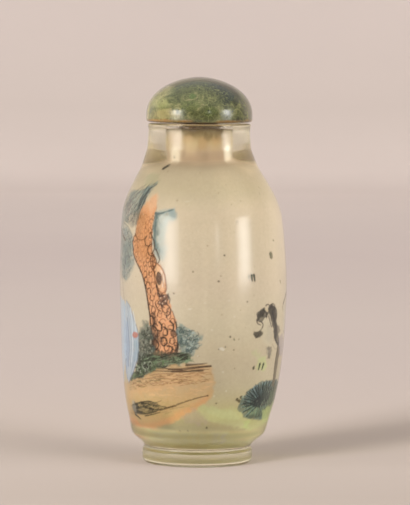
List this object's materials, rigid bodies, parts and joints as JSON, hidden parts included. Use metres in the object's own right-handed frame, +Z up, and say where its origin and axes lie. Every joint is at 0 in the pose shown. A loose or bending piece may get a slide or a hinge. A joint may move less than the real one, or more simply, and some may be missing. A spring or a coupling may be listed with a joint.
{
  "type": "snuff bottle",
  "caption": "Small hollow glass snuff bottle with a landscape painted on its inner wall, a domed green stone stopper on a cork and a low disc foot.",
  "frame": {"origin": "middle of the whole part's box, on the plane that the foot stands on", "axes": "+Z up through the neck, +X to the side that the body bulges to, -Y to the plain face between the two pictures"},
  "size_m": [0.0312, 0.0342, 0.072],
  "materials": {
    "painted_glass": "clear, slightly green, polished outside and ground matt inside under a painted film",
    "green_stone": "polished, mottled green with dark flecks",
    "cork": "dry, dark at the top"
  },
  "bodies": {
    "root": {"bottle": "painted_glass", "stopper": "green_stone", "cork": "cork"}
  },
  "joints": []
}
